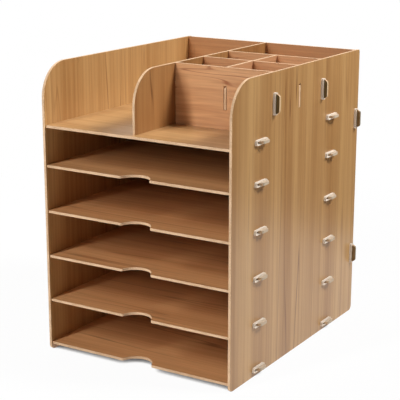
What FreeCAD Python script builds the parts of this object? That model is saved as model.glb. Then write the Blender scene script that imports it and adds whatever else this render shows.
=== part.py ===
import FreeCAD, Part
import math
import os
import Sketcher

# Desktop letter tray stack: flat boards that plug together with tabs and slots.
# Millimetres. X runs to the right, Y from the front to the back and Z up. The origin lies
# on the table, under the middle of the stack.

trayCount = 5
nearlyZero = 0.001  # the tolerance for finding edges and faces by their place

sizes = {
    # the whole stack
    "outerWidth": 250.0,
    "outerDepth": 316.0,
    "boardThickness": 3.0,
    "railHeight": 70.5,
    "railCurveRadius": 40.0,
    "rearTopRadius": 3.0,
    "footRadius": 6.0,
    # the trays and the deck on top of them
    "bottomTrayLift": 6.5,
    "trayPitch": 54.2,
    "topTrayPitch": 46.6,
    "trayFrontSetback": 2.0,
    "notchRadius": 19.5,
    "notchDepth": 16.0,
    "notchCornerRadius": 3.0,
    # the back panel
    "backPanelInset": 6.0,
    "backPanelLift": 2.0,
    "upperBackTabDrop": 75.0,
    "lowerBackTabRise": 68.5,
    # the fit of a tab in its slot
    "slotFitClearance": 0.2,
    "slotEndClearance": 0.5,
    # the tab ends that stand proud of the side panels
    "tabProud": 7.2,
    "tabCornerRadius": 3.8,
    # the tabs of the trays and the deck
    "trayTabLength": 15.7,
    "trayTabSlide": 6.0,
    "frontTabInset": 50.5,
    "rearTabInset": 68.0,
    # the upright boards' proud tabs
    "wallTabLength": 21.5,
    "wallTabRise": 24.0,
    # the upright boards' tabs that end flush, in looser slots
    "flushTabLength": 24.6,
    "flushTabSlide": 1.8,
    "flushTabRise": 22.1,
    "flushFitClearance": 1.2,
    # the collars that lock the tabs outside the side panels
    "collarWall": 1.4,
    "collarDepth": 2.9,
    "collarCornerRadius": 2.2,
    # the divider that stands on the deck
    "dividerSetback": 8.0,
    "deckTabLength": 20.0,
    "deckTabInset": 30.0,
    # the pen box between the divider and the right side panel
    "penBayWidth": 125.0,
    "penBoxSetback": 90.5,
    "penFrontCell": 58.0,
    "penRearCell": 55.5,
    "penRightCellWidth": 57.5,
    "lapSlotClearance": 0.2,
}


# A length that carries its number and the spreadsheet expression behind it, so that
# one sum gives both a sketch's starting point and the binding that drives it.
class Length:
    def __init__(self, number, text):
        self.number = number
        self.text = text

    def join(self, sign, other, number):
        text = other.text if isinstance(other, Length) else str(other)
        return Length(number, "(%s %s %s)" % (self.text, sign, text))

    def __add__(self, other):
        return self.join("+", other, self.number + numberOf(other))

    def __sub__(self, other):
        return self.join("-", other, self.number - numberOf(other))

    def __mul__(self, factor):
        return self.join("*", factor, self.number * factor)

    def __truediv__(self, divisor):
        return self.join("/", divisor, self.number / divisor)

    def __neg__(self):
        return Length(-self.number, "(-1 * %s)" % self.text)


def numberOf(value):
    return value.number if isinstance(value, Length) else value


def makeSizeSheet(doc):
    sheet = doc.addObject("Spreadsheet::Sheet", "Sizes")
    for row, (name, number) in enumerate(sizes.items(), start=1):
        sheet.set("A%d" % row, name)
        sheet.set("B%d" % row, str(number))
        sheet.setAlias("B%d" % row, name)
    doc.recompute()
    return sheet


doc = FreeCAD.newDocument("LetterTrayStack")
makeSizeSheet(doc)


def size(name):
    return Length(sizes[name], "Sizes." + name)


# Places that pieces share, worked out from the sizes.
board = size("boardThickness")
outerRight = size("outerWidth") / 2
innerRight = outerRight - board
frontEdge = -size("outerDepth") / 2
rearEdge = size("outerDepth") / 2
trayFront = frontEdge + size("trayFrontSetback")
backPanelRear = rearEdge - size("backPanelInset")
backPanelFront = backPanelRear - board

deckUnder = size("bottomTrayLift") + size("trayPitch") * (trayCount - 1) + size("topTrayPitch")
deckTop = deckUnder + board
outerTop = deckTop + size("railHeight")

dividerRight = innerRight - size("penBayWidth")
dividerMiddle = dividerRight - board / 2
penFrontFace = frontEdge + size("penBoxSetback")
penCrossFace = penFrontFace + board + size("penFrontCell")
penRearFace = penCrossFace + board + size("penRearCell")
penBoardMiddles = [face + board / 2 for face in (penFrontFace, penCrossFace, penRearFace)]
penMiddle = innerRight - size("penRightCellWidth") - board / 2
penLapDepth = size("railHeight") / 2

slotHeight = board + size("slotFitClearance")
traySlotLength = size("trayTabSlide") + size("trayTabLength") + size("slotEndClearance")
wallSlotLength = size("wallTabLength") + size("slotEndClearance") * 2
flushSlotLength = size("flushTabLength") + size("flushTabSlide") + size("slotEndClearance") * 2
flushSlotWidth = board + size("flushFitClearance")
lapSlotWidth = board + size("lapSlotClearance")
frontSlotStart = frontEdge + size("frontTabInset")
rearSlotStart = rearEdge - size("rearTabInset") - traySlotLength
wallSlotStart = deckTop + size("wallTabRise")
flushSlotStart = deckTop + size("flushTabRise")
upperBackSlotStart = outerTop - size("upperBackTabDrop") - wallSlotLength
lowerBackSlotStart = size("lowerBackTabRise")
backPanelMiddle = backPanelRear - board / 2


def newBody(label):
    body = doc.addObject("PartDesign::Body", label)
    body.Label = label
    return body


def newSketch(body, planeRole, name):
    sketch = body.newObject("Sketcher::SketchObject", body.Name + "_" + name)
    for feature in body.Origin.OriginFeatures:
        if feature.Role == planeRole:
            sketch.AttachmentSupport = [(feature, "")]
    sketch.MapMode = "FlatFace"
    return sketch


def bindConstraint(sketch, constraint, length):
    index = sketch.addConstraint(constraint)
    sketch.setExpression("Constraints[%d]" % index, length.text)


# Draws a closed outline of level and upright edges, anticlockwise. Each corner is
# (across, up, radius), with no radius for a sharp one.
def traceOutline(sketch, corners):
    points = [FreeCAD.Vector(across.number, up.number, 0) for across, up, radius in corners]
    radii = [radius.number if radius else 0.0 for across, up, radius in corners]
    count = len(corners)
    ways = [(points[(i + 1) % count] - points[i]).normalize() for i in range(count)]

    lines = []
    for i in range(count):
        after = (i + 1) % count
        start = points[i] + ways[i] * radii[i]
        end = points[after] - ways[i] * radii[after]
        lines.append(sketch.addGeometry(Part.LineSegment(start, end), False))

    arcs = {}
    for i in range(count):
        if radii[i] > 0:
            arcs[i] = addCornerArc(sketch, points[i], ways[i - 1], ways[i], radii[i])

    joins = []
    for i in range(count):
        level = abs(ways[i].x) > abs(ways[i].y)
        joins.append(Sketcher.Constraint("Horizontal" if level else "Vertical", lines[i]))
        if i in arcs:
            arc, entry, leave = arcs[i]
            joins.append(Sketcher.Constraint("Tangent", lines[i - 1], 2, arc, entry))
            joins.append(Sketcher.Constraint("Tangent", lines[i], 1, arc, leave))
        else:
            joins.append(Sketcher.Constraint("Coincident", lines[i - 1], 2, lines[i], 1))
    sketch.addConstraint(joins)

    for i, (across, up, radius) in enumerate(corners):
        level = abs(ways[i].x) > abs(ways[i].y)
        kind = "DistanceY" if level else "DistanceX"
        place = up if level else across
        bindConstraint(sketch, Sketcher.Constraint(kind, -1, 1, lines[i], 1, place.number), place)
        if i in arcs:
            bindConstraint(sketch, Sketcher.Constraint("Radius", arcs[i][0], radius.number), radius)


# A quarter round between two edges. Gives the arc and which of its ends meets each edge.
def addCornerArc(sketch, corner, wayIn, wayOut, radius):
    centre = corner - wayIn * radius + wayOut * radius
    turnsLeft = wayIn.x * wayOut.y - wayIn.y * wayOut.x > 0
    entrySpoke = -wayOut
    leaveSpoke = wayIn
    fromSpoke = entrySpoke if turnsLeft else leaveSpoke
    startAngle = math.atan2(fromSpoke.y, fromSpoke.x)
    circle = Part.Circle(centre, FreeCAD.Vector(0, 0, 1), radius)
    arc = Part.ArcOfCircle(circle, startAngle, startAngle + math.pi / 2)
    index = sketch.addGeometry(arc, False)
    return (index, 1, 2) if turnsLeft else (index, 2, 1)


def traceRectangle(sketch, left, right, bottom, top, radius=None):
    traceOutline(sketch, [
        (left, bottom, radius),
        (right, bottom, radius),
        (right, top, radius),
        (left, top, radius),
    ])


# The corners of a board. Each side's tabs are (start, end, proud, radius), where a
# negative proud cuts an open slot into the edge instead.
def boardCorners(left, right, bottom, top, tabs, radii=None):
    radii = radii or {}
    corners = [(left, bottom, radii.get("bottomLeft"))]
    for start, end, proud, radius in tabs.get("bottom", []):
        out = bottom - proud
        corners += [(start, bottom, None), (start, out, radius), (end, out, radius), (end, bottom, None)]
    corners.append((right, bottom, radii.get("bottomRight")))
    for start, end, proud, radius in tabs.get("right", []):
        out = right + proud
        corners += [(right, start, None), (out, start, radius), (out, end, radius), (right, end, None)]
    corners.append((right, top, radii.get("topRight")))
    for start, end, proud, radius in reversed(tabs.get("top", [])):
        out = top + proud
        corners += [(end, top, None), (end, out, radius), (start, out, radius), (start, top, None)]
    corners.append((left, top, radii.get("topLeft")))
    for start, end, proud, radius in reversed(tabs.get("left", [])):
        out = left - proud
        corners += [(left, end, None), (out, end, radius), (out, start, radius), (left, start, None)]
    return corners


# Pads the outline to the board's thickness, half to each side of the sketch plane.
def padBoard(body, planeRole, corners):
    sketch = newSketch(body, planeRole, "outline")
    traceOutline(sketch, corners)
    pad = body.newObject("PartDesign::Pad", body.Name + "_board")
    pad.Profile = sketch
    pad.SideType = "Symmetric"
    pad.setExpression("Length", board.text)
    return pad


def cutThrough(body, sketch, name):
    pocket = body.newObject("PartDesign::Pocket", body.Name + "_" + name)
    pocket.Profile = sketch
    pocket.Type = "ThroughAll"
    pocket.SideType = "Symmetric"
    return pocket


# Cuts slots given as (left, right, bottom, top).
def cutSlots(body, planeRole, name, slots):
    sketch = newSketch(body, planeRole, name + "_sketch")
    for left, right, bottom, top in slots:
        traceRectangle(sketch, left, right, bottom, top)
    return cutThrough(body, sketch, name)


def placeBody(body, axis, place):
    body.setExpression("Placement.Base." + axis, place.text)


# A level slot for a tray or deck tab, seen from the side, round a board with this underside.
def traySlot(slotStart, under):
    bottom = under - size("slotFitClearance") / 2
    return (slotStart, slotStart + traySlotLength, bottom, bottom + slotHeight)


# The tab lies at the rear of its slot, because the board slides back when it is fitted.
def trayTab(slotStart):
    start = slotStart + size("trayTabSlide")
    end = start + size("trayTabLength")
    return (start, end, board + size("tabProud"), size("tabCornerRadius"))


# An upright slot for the proud tab of a board whose middle plane is at this place.
def wallSlot(middle, slotStart):
    left = middle - slotHeight / 2
    return (left, left + slotHeight, slotStart, slotStart + wallSlotLength)


def wallTab(slotStart):
    start = slotStart + size("slotEndClearance")
    end = start + size("wallTabLength")
    return (start, end, board + size("tabProud"), size("tabCornerRadius"))


# The slot for a tab that ends flush with the board it goes through. The tab drops to the
# bottom of the slot when it is fitted.
def flushSlot(middle):
    left = middle - flushSlotWidth / 2
    return (left, left + flushSlotWidth, flushSlotStart, flushSlotStart + flushSlotLength)


def flushTab():
    start = flushSlotStart + size("slotEndClearance")
    return (start, start + size("flushTabLength"), board, None)


def makeSidePanel(label, place, penSlots):
    body = newBody(label)
    plane = "YZ_Plane"
    radii = {
        "bottomLeft": size("footRadius"),
        "bottomRight": size("footRadius"),
        "topRight": size("rearTopRadius"),
        "topLeft": size("railCurveRadius"),
    }
    table = Length(0.0, "0 mm")
    padBoard(body, plane, boardCorners(frontEdge, rearEdge, table, outerTop, {}, radii))

    # one row of tray slots, repeated up the panel
    columns = [frontSlotStart, rearSlotStart]
    lowest = size("bottomTrayLift")
    row = cutSlots(body, plane, "tray_slots", [traySlot(column, lowest) for column in columns])
    rows = body.newObject("PartDesign::LinearPattern", body.Name + "_tray_slot_rows")
    rows.Originals = [row]
    rows.Direction = (row.Profile[0], ["V_Axis"])
    rows.Mode = "Spacing"
    rows.setExpression("Offset", size("trayPitch").text)
    rows.Occurrences = trayCount
    body.Tip = rows

    cutSlots(body, plane, "deck_slots", [traySlot(column, deckUnder) for column in columns])
    backSlots = [upperBackSlotStart, lowerBackSlotStart]
    cutSlots(body, plane, "back_slots", [wallSlot(backPanelMiddle, start) for start in backSlots])
    if penSlots:
        cutSlots(body, plane, "pen_box_slots", penSlots)
    placeBody(body, "x", place)
    return body


# The front and rear boards of the pen box have proud tabs, and the cross board a flush one.
def penBoxSlots():
    front, cross, rear = penBoardMiddles
    return [wallSlot(front, wallSlotStart), flushSlot(cross), wallSlot(rear, wallSlotStart)]


# The outline that the trays and the deck share.
def levelBoardCorners():
    tabs = [trayTab(frontSlotStart), trayTab(rearSlotStart)]
    sides = {"left": tabs, "right": tabs}
    return boardCorners(-innerRight, innerRight, trayFront, backPanelFront, sides)


def makeTray(label, under):
    body = newBody(label)
    padBoard(body, "XY_Plane", levelBoardCorners())

    # the thumb notch in the front edge, which lets a sheet be gripped
    sketch = newSketch(body, "XY_Plane", "notch_sketch")
    centre = trayFront + size("notchDepth") - size("notchRadius")
    middle = FreeCAD.Vector(0, centre.number, 0)
    circle = Part.Circle(middle, FreeCAD.Vector(0, 0, 1), size("notchRadius").number)
    index = sketch.addGeometry(circle, False)
    sketch.addConstraint(Sketcher.Constraint("PointOnObject", index, 3, -2))
    place = Sketcher.Constraint("DistanceY", -1, 1, index, 3, centre.number)
    bindConstraint(sketch, place, centre)
    radius = Sketcher.Constraint("Radius", index, size("notchRadius").number)
    bindConstraint(sketch, radius, size("notchRadius"))
    notch = cutThrough(body, sketch, "notch")
    doc.recompute()

    # its two mouth corners are rounded
    mouth = body.newObject("PartDesign::Fillet", body.Name + "_notch_corners")
    mouth.Base = (notch, notchMouthEdges(notch.Shape))
    mouth.setExpression("Radius", size("notchCornerRadius").text)
    placeBody(body, "z", under + board / 2)
    return body


# The upright edges where the notch meets the front edge.
def notchMouthEdges(shape):
    names = []
    for index, edge in enumerate(shape.Edges, start=1):
        box = edge.BoundBox
        upright = box.ZLength > board.number / 2 and box.XLength < nearlyZero
        inFront = abs(box.YMin - trayFront.number) < nearlyZero
        nearMiddle = abs(box.Center.x) < size("notchRadius").number + nearlyZero
        if upright and inFront and nearMiddle:
            names.append("Edge%d" % index)
    return names


# Where the divider's two foot tabs start.
def dividerDeckTabs():
    front = frontEdge + size("dividerSetback") + size("deckTabInset")
    rear = backPanelFront - size("deckTabInset") - size("deckTabLength")
    return [front, rear]


def makeDeck():
    body = newBody("top_deck")
    padBoard(body, "XY_Plane", levelBoardCorners())
    slots = []
    for start in dividerDeckTabs():
        left = dividerMiddle - slotHeight / 2
        slotStart = start - size("slotEndClearance")
        slotEnd = start + size("deckTabLength") + size("slotEndClearance")
        slots.append((left, left + slotHeight, slotStart, slotEnd))
    cutSlots(body, "XY_Plane", "divider_slots", slots)
    placeBody(body, "z", deckUnder + board / 2)
    return body


def makeBackPanel():
    body = newBody("back_panel")
    tabs = [wallTab(lowerBackSlotStart), wallTab(upperBackSlotStart)]
    sides = {"left": tabs, "right": tabs}
    corners = boardCorners(-innerRight, innerRight, size("backPanelLift"), outerTop, sides)
    padBoard(body, "XZ_Plane", corners)
    cutSlots(body, "XZ_Plane", "divider_slot", [flushSlot(dividerMiddle)])
    placeBody(body, "y", backPanelMiddle)
    return body


def makeDivider():
    body = newBody("deck_divider")
    feet = [(start, start + size("deckTabLength"), board, None) for start in dividerDeckTabs()]
    tabs = {"bottom": feet, "right": [flushTab()]}
    front = frontEdge + size("dividerSetback")
    radii = {"topLeft": size("railCurveRadius")}
    corners = boardCorners(front, backPanelFront, deckTop, outerTop, tabs, radii)
    padBoard(body, "YZ_Plane", corners)
    cutSlots(body, "YZ_Plane", "pen_box_slots", [flushSlot(middle) for middle in penBoardMiddles])
    placeBody(body, "x", dividerMiddle)
    return body


# A board that runs across the pen box, from the divider to the right side panel.
def makePenBoard(label, frontFace, rightTab, bottomEdgeSlots, crossSlots):
    body = newBody(label)
    tabs = {
        "left": [flushTab()],
        "right": [rightTab],
        "bottom": bottomEdgeSlots,
    }
    corners = boardCorners(dividerRight, innerRight, deckTop, outerTop, tabs)
    padBoard(body, "XZ_Plane", corners)
    if crossSlots:
        cutSlots(body, "XZ_Plane", "middle_slot", crossSlots)
    placeBody(body, "y", frontFace + board / 2)
    return body


def makePenBox():
    middleSlot = flushSlot(penMiddle)
    lapStart = penMiddle - lapSlotWidth / 2
    lapSlot = (lapStart, lapStart + lapSlotWidth, -penLapDepth, None)
    proudTab = wallTab(wallSlotStart)
    return [
        makePenBoard("pen_box_front", penFrontFace, proudTab, [], [middleSlot]),
        makePenBoard("pen_box_cross", penCrossFace, flushTab(), [lapSlot], []),
        makePenBoard("pen_box_rear", penRearFace, proudTab, [], [middleSlot]),
        makePenMiddle(),
    ]


# Runs from front to rear through the pen box and drops over the cross board.
def makePenMiddle():
    body = newBody("pen_box_middle")
    lapStart = penCrossFace + board / 2 - lapSlotWidth / 2
    lapSlot = (lapStart, lapStart + lapSlotWidth, -penLapDepth, None)
    tabs = {"left": [flushTab()], "right": [flushTab()], "top": [lapSlot]}
    corners = boardCorners(penFrontFace + board, penRearFace, deckTop, outerTop, tabs)
    padBoard(body, "YZ_Plane", corners)
    placeBody(body, "x", penMiddle)
    return body


# An oval ring that grips a tab against the outer face of a side panel, with the same
# opening as the slot behind it.
def makeCollar(label, slot, onRight):
    body = newBody(label)
    left, right, bottom, top = slot
    wall = size("collarWall")
    sketch = newSketch(body, "YZ_Plane", "ring")
    traceRectangle(sketch, left - wall, right + wall, bottom - wall, top + wall,
                   size("collarCornerRadius"))
    traceRectangle(sketch, left, right, bottom, top)
    pad = body.newObject("PartDesign::Pad", body.Name + "_ring_pad")
    pad.Profile = sketch
    pad.setExpression("Length", size("collarDepth").text)
    pad.Reversed = not onRight
    placeBody(body, "x", outerRight if onRight else -outerRight)
    return body


def makeCollars():
    collars = []
    levels = [("tray_%d" % (i + 1), trayLevel(i)) for i in range(trayCount)]
    levels.append(("deck", deckUnder))
    ends = [("front", frontSlotStart), ("rear", rearSlotStart)]
    backs = [("upper", upperBackSlotStart), ("lower", lowerBackSlotStart)]
    for side, onRight in (("left", False), ("right", True)):
        for level, under in levels:
            for end, start in ends:
                label = "collar_%s_%s_%s" % (side, level, end)
                collars.append(makeCollar(label, traySlot(start, under), onRight))
        for height, start in backs:
            label = "collar_%s_back_%s" % (side, height)
            slot = wallSlot(backPanelMiddle, start)
            collars.append(makeCollar(label, slot, onRight))
    for end, middle in (("front", penBoardMiddles[0]), ("rear", penBoardMiddles[-1])):
        slot = wallSlot(middle, wallSlotStart)
        collars.append(makeCollar("collar_right_pen_box_%s" % end, slot, True))
    return collars


def trayLevel(index):
    return size("bottomTrayLift") + size("trayPitch") * index


def makeStack():
    bodies = [
        makeSidePanel("left_side_panel", -outerRight + board / 2, []),
        makeSidePanel("right_side_panel", outerRight - board / 2, penBoxSlots()),
        makeBackPanel(),
        makeDeck(),
        makeDivider(),
    ]
    for i in range(trayCount):
        bodies.append(makeTray("tray_%d" % (i + 1), trayLevel(i)))
    bodies += makePenBox()
    bodies += makeCollars()
    return bodies


def checkDocument(bodies):
    for item in doc.Objects:
        if "Invalid" in item.State or "Error" in item.State:
            raise RuntimeError("failed: " + item.Label)
    for body in bodies:
        shape = body.Shape
        if shape.isNull() or not shape.isValid() or len(shape.Solids) != 1:
            raise RuntimeError("bad shape: " + body.Label)


def exportBodies(bodies):
    os.makedirs("parts", exist_ok=True)
    for body in bodies:
        body.Shape.exportStep("parts/%s.step" % body.Label)


bodies = makeStack()
doc.recompute()
checkDocument(bodies)
exportBodies(bodies)
for body in bodies:
    box = body.Shape.BoundBox
    print("%-28s %8.1f mm3  x %.1f..%.1f  y %.1f..%.1f  z %.1f..%.1f" % (
        body.Label, body.Shape.Volume, box.XMin, box.XMax, box.YMin, box.YMax, box.ZMin, box.ZMax))
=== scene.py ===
import bpy
from math import radians
from mathutils import Matrix, Vector


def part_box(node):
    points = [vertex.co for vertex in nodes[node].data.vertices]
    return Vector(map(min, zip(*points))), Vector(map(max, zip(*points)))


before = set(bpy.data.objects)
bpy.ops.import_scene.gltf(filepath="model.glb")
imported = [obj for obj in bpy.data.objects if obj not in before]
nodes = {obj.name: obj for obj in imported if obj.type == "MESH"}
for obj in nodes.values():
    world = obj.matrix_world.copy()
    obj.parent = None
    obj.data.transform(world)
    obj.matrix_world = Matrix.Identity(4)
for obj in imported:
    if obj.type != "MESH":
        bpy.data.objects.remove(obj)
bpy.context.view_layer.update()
print("frame loaded:", len(nodes), "nodes")

# the sRGB curve, which turns a screen's levels into linear ones
screenCurve = {"top": 255, "footEnd": 0.04045, "footSlope": 12.92, "offset": 0.055, "power": 2.4}


def linearLevel(level):
    share = level / screenCurve["top"]
    if share <= screenCurve["footEnd"]:
        return share / screenCurve["footSlope"]
    offset = screenCurve["offset"]
    return ((share + offset) / (1 + offset)) ** screenCurve["power"]


# an on-screen colour, 0 to 255, as the shader's linear one
def tone(red, green, blue):
    return (linearLevel(red), linearLevel(green), linearLevel(blue), 1.0)


def newMaterial(name):
    material = bpy.data.materials.new(name)
    material.use_nodes = True
    return material, material.node_tree


def addNode(tree, kind, settings=None, inputs=None):
    node = tree.nodes.new("ShaderNode" + kind)
    for name, value in (settings or {}).items():
        setattr(node, name, value)
    for name, value in (inputs or {}).items():
        if isinstance(value, bpy.types.NodeSocket):
            tree.links.new(value, node.inputs[name])
        else:
            node.inputs[name].default_value = value
    return node


def mathNode(tree, operation, first, second=None):
    inputs = {0: first}
    if second is not None:
        inputs[1] = second
    return addNode(tree, "Math", {"operation": operation}, inputs).outputs[0]


def times(tree, first, second):
    return mathNode(tree, "MULTIPLY", first, second)


def plus(tree, first, second):
    return mathNode(tree, "ADD", first, second)


# sockets 6 and 7 are the Mix node's two colours, and 2 is the mixed one
def mixTones(tree, factor, first, second, blendType="MIX"):
    settings = {"data_type": "RGBA", "blend_type": blendType}
    return addNode(tree, "Mix", settings, {0: factor, 6: first, 7: second}).outputs[2]


def remap(tree, value, low, high, newLow, newHigh):
    inputs = {0: value, 1: low, 2: high, 3: newLow, 4: newHigh}
    return addNode(tree, "MapRange", {"interpolation_type": "SMOOTHSTEP"}, inputs).outputs[0]


def objectCoords(tree):
    return addNode(tree, "TexCoord").outputs["Object"]


# how far a value lies from another, either way
def distanceFrom(tree, value, centre):
    return mathNode(tree, "ABSOLUTE", mathNode(tree, "SUBTRACT", value, centre))


# how far a vector reaches along one axis, either way from the centre
def reachAlong(tree, vector, axis, centre=0.0):
    part = addNode(tree, "SeparateXYZ", inputs={0: vector}).outputs[axis]
    return distanceFrom(tree, part, centre)


facingLimit = 0.7  # the least part of a face's normal that lies along the axis


# 1 where a face looks along this axis, either way, and 0 elsewhere
def facingMask(tree, axis):
    normal = addNode(tree, "TexCoord").outputs["Normal"]
    return mathNode(tree, "GREATER_THAN", reachAlong(tree, normal, axis), facingLimit)


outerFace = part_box("right_side_panel")[1].x


# 1 where a tab has come out through a side panel
def outsideMask(tree):
    reach = reachAlong(tree, objectCoords(tree), "X")
    return mathNode(tree, "GREATER_THAN", reach, outerFace)


# even noise with specks of this size, in metres
def speckNoise(tree, size, detail):
    inputs = {"Vector": objectCoords(tree), "Scale": 1 / size, "Detail": detail}
    return addNode(tree, "TexNoise", inputs=inputs).outputs["Fac"]


def addRelief(tree, shader, look, height):
    inputs = {"Strength": look["reliefStrength"], "Distance": look["reliefDepth"], "Height": height}
    bump = addNode(tree, "Bump", inputs=inputs)
    tree.links.new(bump.outputs[0], shader.inputs["Normal"])


# lengths are in metres; a span is the part of a noise's range that counts
rawEdge = {
    "tone": tone(219, 184, 147),
    "shadeTone": tone(196, 159, 121),
    "toneSpan": (0.35, 0.62),
    "speckSize": 0.0012,
    "speckDetail": 3.0,
    "speckRelief": 0.6,
    "patchSize": 0.016,
    "patchDetail": 2.0,
    "roughness": 0.75,
}


# cut fibreboard, speckled and a little patchy
def rawEdgeTone(tree):
    specks = speckNoise(tree, rawEdge["speckSize"], rawEdge["speckDetail"])
    patches = speckNoise(tree, rawEdge["patchSize"], rawEdge["patchDetail"])
    mean = mathNode(tree, "DIVIDE", plus(tree, specks, patches), 2)
    light = remap(tree, mean, *rawEdge["toneSpan"], 0.0, 1.0)
    return mixTones(tree, light, rawEdge["shadeTone"], rawEdge["tone"]), specks


# noise drawn out along the grain: the look gives each kind's width, length and detail
def grainNoise(tree, coords, look, kind):
    stretch = [1 / look[kind + "Width"]] * 3
    stretch["XYZ".index(look["grainAxis"])] = 1 / look[kind + "Length"]
    mapping = addNode(tree, "Mapping", inputs={"Vector": coords, "Scale": stretch})
    inputs = {"Vector": mapping.outputs[0], "Scale": 1.0}
    inputs["Detail"] = look[kind + "Detail"]
    inputs["Roughness"] = look["grainRoughness"]
    return addNode(tree, "TexNoise", inputs=inputs).outputs["Fac"]


middle = 0.5  # a noise and a fraction both run from 0 to 1 about this


# the grain strays a little from side to side along a board
def wanderingCoords(tree, look):
    coords = objectCoords(tree)
    inputs = {"Vector": coords, "Scale": look["wanderScale"], "Detail": look["wanderDetail"]}
    wave = addNode(tree, "TexNoise", inputs=inputs).outputs["Color"]
    inputs = {0: wave, 1: (middle, middle, middle)}
    centred = addNode(tree, "VectorMath", {"operation": "SUBTRACT"}, inputs)
    inputs = {0: centred.outputs[0], "Scale": look["wander"]}
    shift = addNode(tree, "VectorMath", {"operation": "SCALE"}, inputs)
    inputs = {0: coords, 1: shift.outputs[0]}
    return addNode(tree, "VectorMath", {"operation": "ADD"}, inputs).outputs[0]


# broad bands and finer streaks between the dark and the light tone
def bandedTone(tree, coords, look, streaks):
    bands = grainNoise(tree, coords, look, "band")
    broad = remap(tree, bands, *look["bandSpan"], 0.0, look["bandShare"])
    fine = remap(tree, streaks, *look["streakSpan"], 0.0, 1.0 - look["bandShare"])
    return mixTones(tree, plus(tree, broad, fine), look["darkTone"], look["lightTone"])


# thin growth lines follow the levels of a broad noise and fade in and out
def lineMask(tree, coords, look):
    contour = grainNoise(tree, coords, look, "contour")
    level = mathNode(tree, "FRACT", times(tree, contour, look["lineCount"]))
    line = remap(tree, distanceFrom(tree, level, middle), 0.0, look["lineSharpness"], 1.0, 0.0)
    patches = grainNoise(tree, coords, look, "patch")
    shown = remap(tree, patches, *look["patchSpan"], 0.0, look["lineStrength"])
    if "figureReach" in look:
        reach = reachAlong(tree, coords, "Y", look["figureCentre"])
        gathered = remap(tree, reach, 0.0, look["figureReach"], look["figureStrength"], 0.0)
        shown = mathNode(tree, "MAXIMUM", times(tree, shown, look["figureRest"]), gathered)
    return times(tree, line, shown)


def veneerTone(tree, look):
    coords = wanderingCoords(tree, look)
    streaks = grainNoise(tree, coords, look, "streak")
    fibres = grainNoise(tree, coords, look, "fibre")
    banded = bandedTone(tree, coords, look, streaks)
    lined = mixTones(tree, lineMask(tree, coords, look), banded, look["lineTone"])

    # the finest fibres only lighten and darken
    contrast = look["fibreContrast"]
    light = remap(tree, fibres, *look["fibreSpan"], 1.0 - contrast, 1.0 + contrast)
    grey = addNode(tree, "CombineColor", inputs={0: light, 1: light, 2: light}).outputs[0]
    return mixTones(tree, 1.0, lined, grey, "MULTIPLY"), streaks, fibres


# veneer on the two broad faces, raw board on the cut edges
def makeBoardMaterial(name, look):
    material, tree = newMaterial(name)
    shader = tree.nodes["Principled BSDF"]
    faceTone, streaks, fibres = veneerTone(tree, look)
    edgeTone, specks = rawEdgeTone(tree)
    broadFace = facingMask(tree, look["faceAxis"])
    # outside the side panels a tab takes its own tones, which on the upright boards are painted
    # shade
    if "tabFaceToneAndPaintedShade" in look:
        outside = outsideMask(tree)
        faceTone = mixTones(tree, outside, faceTone, look["tabFaceToneAndPaintedShade"])
        tabEnd = times(tree, outside, facingMask(tree, "X"))
        edgeTone = mixTones(tree, tabEnd, edgeTone, look["tabEndToneAndPaintedShade"])
    tree.links.new(mixTones(tree, broadFace, edgeTone, faceTone), shader.inputs["Base Color"])

    dullest = look["roughness"] + look["roughnessSwing"]
    glossiest = look["roughness"] - look["roughnessSwing"]
    faceRoughness = remap(tree, streaks, *look["roughnessSpan"], dullest, glossiest)
    gap = mathNode(tree, "SUBTRACT", faceRoughness, rawEdge["roughness"])
    roughness = plus(tree, times(tree, gap, broadFace), rawEdge["roughness"])
    tree.links.new(roughness, shader.inputs["Roughness"])
    shader.inputs["Specular IOR Level"].default_value = look["specular"]

    fibreRelief = times(tree, fibres, broadFace)
    speckRelief = times(tree, specks, rawEdge["speckRelief"])
    addRelief(tree, shader, look, plus(tree, fibreRelief, speckRelief))
    return material


sideVeneer = {
    "faceAxis": "X",
    "grainAxis": "Z",
    "lightTone": tone(192, 150, 98),
    "darkTone": tone(160, 115, 67),
    "lineTone": tone(112, 66, 30),
    "grainRoughness": 0.55,
    "bandWidth": 0.034,
    "bandLength": 0.90,
    "bandDetail": 2.0,
    "bandSpan": (0.36, 0.64),
    "bandShare": 0.58,  # the streaks have the rest
    "streakWidth": 0.0045,
    "streakLength": 0.45,
    "streakDetail": 3.0,
    "streakSpan": (0.33, 0.67),
    "fibreWidth": 0.0012,
    "fibreLength": 0.045,
    "fibreDetail": 2.0,
    "fibreSpan": (0.3, 0.7),
    "fibreContrast": 0.045,
    "contourWidth": 0.030,
    "contourLength": 1.0,
    "contourDetail": 1.0,
    "lineCount": 6.0,
    "lineSharpness": 0.06,  # lower is thinner
    "lineStrength": 0.7,
    "patchWidth": 0.018,
    "patchLength": 0.30,
    "patchDetail": 1.0,
    "patchSpan": (0.40, 0.60),
    "wander": 0.003,
    "wanderScale": 5.0,  # waves in a metre
    "wanderDetail": 1.0,
    "roughness": 0.32,
    "roughnessSwing": 0.04,
    "roughnessSpan": (0.35, 0.65),
    "specular": 0.6,
    "reliefStrength": 0.2,
    "reliefDepth": 0.0002,
}

# on the side panels the growth lines gather near the middle
outerVeneer = dict(
    sideVeneer,
    contourWidth=0.022,
    figureCentre=-0.01,
    figureReach=0.075,
    figureStrength=0.85,
    figureRest=0.45,  # the share of the lines that is left elsewhere
)

dividerVeneer = dict(
    sideVeneer,
    lightTone=tone(160, 116, 70),
    darkTone=tone(132, 89, 48),
    lineTone=tone(96, 56, 26),
)

trayVeneer = dict(
    sideVeneer,
    faceAxis="Z",
    grainAxis="X",
    lightTone=tone(224, 171, 118),
    darkTone=tone(197, 141, 92),
    lineTone=tone(152, 98, 58),
    tabFaceToneAndPaintedShade=tone(208, 190, 168),
    tabEndToneAndPaintedShade=tone(190, 172, 148),
)

deckVeneer = dict(
    trayVeneer,
    lightTone=tone(199, 157, 107),
    darkTone=tone(172, 128, 81),
)
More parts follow.
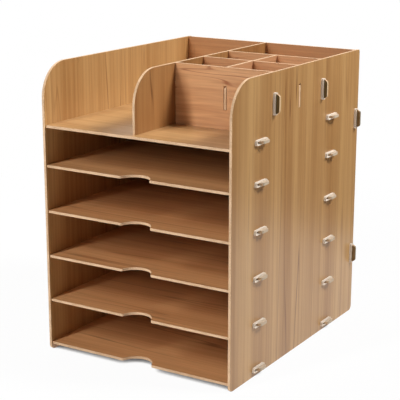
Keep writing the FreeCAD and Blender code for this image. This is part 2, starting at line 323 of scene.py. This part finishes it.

# painted shade: an upright board's tabs are painted dark where they stand out of the side panels
backVeneer = dict(
    sideVeneer,
    faceAxis="Y",
    grainAxis="X",
    lightTone=tone(206, 156, 112),
    darkTone=tone(186, 132, 88),
    lineTone=tone(150, 98, 60),
    tabFaceToneAndPaintedShade=tone(128, 100, 62),
    tabEndToneAndPaintedShade=tone(120, 98, 64),
)

# redder than the rest, with a smaller figure
penBoardVeneer = dict(
    backVeneer,
    lightTone=tone(221, 169, 122),
    darkTone=tone(193, 138, 95),
    lineTone=tone(152, 86, 52),
    bandWidth=0.010,
    bandLength=0.14,
    streakWidth=0.003,
    streakLength=0.08,
    contourWidth=0.014,
    contourLength=0.20,
    lineStrength=0.75,
    patchWidth=0.015,
    patchLength=0.09,
    wander=0.010,
    # painted shade: the tabs' faces are painted dark; their ends keep a pale raw tone
    tabFaceToneAndPaintedShade=tone(104, 86, 50),
    tabEndToneAndPaintedShade=tone(206, 176, 136),
)

middleVeneer = dict(
    sideVeneer,
    grainAxis="Y",
    lightTone=tone(206, 156, 116),
    darkTone=tone(176, 124, 84),
)

collarBoard = {
    "tone": tone(238, 224, 206),
    "shadeTone": tone(222, 204, 182),
    "cutTone": tone(236, 225, 210),
    "toneSpan": (0.35, 0.65),
    "speckSize": 0.0014,
    "speckDetail": 3.0,
    "roughness": 0.7,
    "reliefStrength": 0.25,
    "reliefDepth": 0.0002,
}


# pale board, speckled on its outer face and plain on its cut sides
def makeCollarMaterial():
    material, tree = newMaterial("collarRaw")
    shader = tree.nodes["Principled BSDF"]
    specks = speckNoise(tree, collarBoard["speckSize"], collarBoard["speckDetail"])
    light = remap(tree, specks, *collarBoard["toneSpan"], 0.0, 1.0)
    faceTone = mixTones(tree, light, collarBoard["shadeTone"], collarBoard["tone"])
    colour = mixTones(tree, facingMask(tree, "X"), collarBoard["cutTone"], faceTone)
    tree.links.new(colour, shader.inputs["Base Color"])
    shader.inputs["Roughness"].default_value = collarBoard["roughness"]
    addRelief(tree, shader, collarBoard, specks)
    return material


def namesFrom(start):
    return [name for name in nodes if name.startswith(start)]


# each veneer's look and the boards that wear it
boardFinishes = {
    "sideVeneer": (outerVeneer, ["left_side_panel", "right_side_panel"]),
    "dividerVeneer": (dividerVeneer, ["deck_divider"]),
    "trayVeneer": (trayVeneer, namesFrom("tray_")),
    "deckVeneer": (deckVeneer, ["top_deck"]),
    "backVeneer": (backVeneer, ["back_panel"]),
    "penBoardVeneer": (penBoardVeneer, ["pen_box_front", "pen_box_cross", "pen_box_rear"]),
    "middleVeneer": (middleVeneer, ["pen_box_middle"]),
}


def dress(names, material):
    for name in names:
        for slot in nodes[name].material_slots:
            slot.material = material


def dressNodes():
    for finish, (look, boards) in boardFinishes.items():
        dress(boards, makeBoardMaterial(finish, look))
    dress(namesFrom("collar_"), makeCollarMaterial())


studio = {
    "floorRadius": 9.0,
    "floorSides": 96,
    "floorWhite": 0.90,
    "shadowShare": 0.05,  # how much of the soft shadow shows near the object
    "fadeStart": 0.3,  # where it starts to fade, from the middle of the floor
    "fadeEnd": 0.9,
    "contactReach": 0.04,  # how far the tight shadow looks for a surface
    "contactOpen": 0.27,  # how open the floor is where that shadow ends
    "contactDark": 1.0,
    "worldLevel": 0.03,  # the world's light on the object
    "worldMirrored": 0.35,  # how bright it is in a reflection
    "sheetHalfWidth": 0.62,
    "sheetHalfDepth": 0.47,
    "sheetSoftEdge": 0.12,
    "sheetLevel": 1.0,
    "bounceShare": 0.20,  # how much of the sheet's light reaches the object
}


# the lit sheet that the object stands on, fading out at its edge
def litSheet(tree, coords):
    soft = studio["sheetSoftEdge"]
    level = studio["sheetLevel"]
    for axis, half in (("X", studio["sheetHalfWidth"]), ("Y", studio["sheetHalfDepth"])):
        reach = reachAlong(tree, coords, axis)
        inside = remap(tree, reach, half - soft / 2, half + soft / 2, 1.0, 0.0)
        level = times(tree, inside, level)
    return level


def makeFloorMaterial():
    material, tree = newMaterial("studioFloor")
    tree.nodes.remove(tree.nodes["Principled BSDF"])
    coords = objectCoords(tree)
    sheet = litSheet(tree, coords)
    rays = addNode(tree, "LightPath")
    seen = rays.outputs["Is Camera Ray"]
    mirrored = rays.outputs["Is Glossy Ray"]
    bounced = rays.outputs["Is Diffuse Ray"]

    # the camera sees white, with a tight shadow where the object nearly touches
    contact = addNode(tree, "AmbientOcclusion", inputs={"Distance": studio["contactReach"]})
    darkest = 1.0 - studio["contactDark"]
    shaded = remap(tree, contact.outputs["AO"], 0.0, studio["contactOpen"], darkest, 1.0)
    level = plus(tree, times(tree, seen, shaded), times(tree, mirrored, sheet))
    plain = addNode(tree, "Emission", inputs={"Strength": level}).outputs[0]

    # near the object some of the soft shadow shows too
    reach = addNode(tree, "VectorMath", {"operation": "LENGTH"}, {0: coords}).outputs["Value"]
    plainest = 1.0 - studio["shadowShare"]
    share = remap(tree, reach, studio["fadeStart"], studio["fadeEnd"], plainest, 1.0)
    factor = plus(tree, times(tree, share, seen), mirrored)
    white = studio["floorWhite"]
    matt = addNode(tree, "BsdfDiffuse", inputs={"Color": (white, white, white, 1)}).outputs[0]
    mix = addNode(tree, "MixShader", inputs={0: factor, 1: matt, 2: plain}).outputs[0]

    # the sheet throws some light up at the object
    bounce = times(tree, times(tree, bounced, sheet), studio["bounceShare"])
    glow = addNode(tree, "Emission", inputs={"Strength": bounce}).outputs[0]
    both = addNode(tree, "AddShader", inputs={0: mix, 1: glow}).outputs[0]
    tree.links.new(both, tree.nodes["Material Output"].inputs["Surface"])
    return material


def makeFloor():
    bpy.ops.object.select_all(action="DESELECT")
    radius = studio["floorRadius"]
    sides = studio["floorSides"]
    bpy.ops.mesh.primitive_circle_add(vertices=sides, radius=radius, fill_type="NGON")
    floor = bpy.context.object
    floor.name = "floor"
    floor.data.materials.append(makeFloorMaterial())


def makeWorld():
    world = bpy.data.worlds.new("studio")
    bpy.context.scene.world = world
    world.use_nodes = True
    tree = world.node_tree
    background = tree.nodes["Background"]
    background.inputs["Color"].default_value = (1, 1, 1, 1)
    rays = addNode(tree, "LightPath")
    level = mathNode(tree, "MAXIMUM", rays.outputs["Is Camera Ray"], studio["worldLevel"])
    mirrored = times(tree, rays.outputs["Is Glossy Ray"], studio["worldMirrored"])
    strength = mathNode(tree, "MAXIMUM", level, mirrored)
    tree.links.new(strength, background.inputs["Strength"])


# places and sizes are in metres, powers in watts
keyPlace = (1.1, 0.4, 1.6)
softboxes = {
    "keyRight": {"place": keyPlace, "size": (0.5, 0.5), "power": 18.0},
    "frontStrip": {"place": (-0.38, -1.46, 1.12), "size": (0.14, 1.2), "power": 18.6},
    "frontRight": {"place": (0.20, -1.55, 0.75), "size": (0.14, 0.5), "power": 1.8},
    "fillRear": {"place": (-1.1, 1.0, 1.4), "size": (0.8, 0.8), "power": 8.0},
    "fillLeft": {"place": (-1.7, -0.1, 0.7), "size": (0.8, 0.8), "power": 9.0},
}
softboxTarget = (0.0, 0.0, 0.17)

# a second key in the same place, whose beam fades out down the right side
keyBeam = {
    "target": (-0.237, 0.11, 0.44),
    "angle": 38.0,
    "blend": 0.45,
    "radius": 0.25,
    "power": 100.0,
}


def aimLamp(lamp, place, target):
    holder = bpy.data.objects.new(lamp.name, lamp)
    holder.location = place
    direction = Vector(target) - Vector(place)
    holder.rotation_euler = direction.to_track_quat("-Z", "Y").to_euler()
    bpy.context.scene.collection.objects.link(holder)


def makeLamps():
    for name, look in softboxes.items():
        lamp = bpy.data.lights.new(name, "AREA")
        lamp.shape = "RECTANGLE"
        lamp.size, lamp.size_y = look["size"]
        lamp.energy = look["power"]
        aimLamp(lamp, look["place"], softboxTarget)

    spot = bpy.data.lights.new("keyBeam", "SPOT")
    spot.spot_size = radians(keyBeam["angle"])
    spot.spot_blend = keyBeam["blend"]
    spot.shadow_soft_size = keyBeam["radius"]
    spot.energy = keyBeam["power"]
    aimLamp(spot, keyPlace, keyBeam["target"])


viewpoint = {
    "place": (0.73212, -1.20384, 0.53822),
    "azimuth": 29.7125,
    "elevation": 14.7652,
    "roll": 0.57735,
    "lens": 106.984,
    "sensor": 36.0,
    "sideShift": -0.1,
}


def makeCamera():
    camera = bpy.data.cameras.new("camera")
    camera.sensor_width = viewpoint["sensor"]
    camera.sensor_fit = "HORIZONTAL"
    camera.lens = viewpoint["lens"]
    camera.shift_x = viewpoint["sideShift"]
    holder = bpy.data.objects.new("camera", camera)
    turn = Matrix.Rotation(radians(viewpoint["azimuth"]), 4, "Z")
    tilt = Matrix.Rotation(radians(90 - viewpoint["elevation"]), 4, "X")
    roll = Matrix.Rotation(radians(viewpoint["roll"]), 4, "Z")
    holder.matrix_world = Matrix.Translation(viewpoint["place"]) @ turn @ tilt @ roll
    bpy.context.scene.collection.objects.link(holder)
    bpy.context.scene.camera = holder


dressNodes()
print("boards and collars dressed")
makeFloor()
makeWorld()
print("floor and world ready")
makeLamps()
makeCamera()
bpy.context.scene.view_settings.view_transform = "Standard"
print("lamps and camera ready")
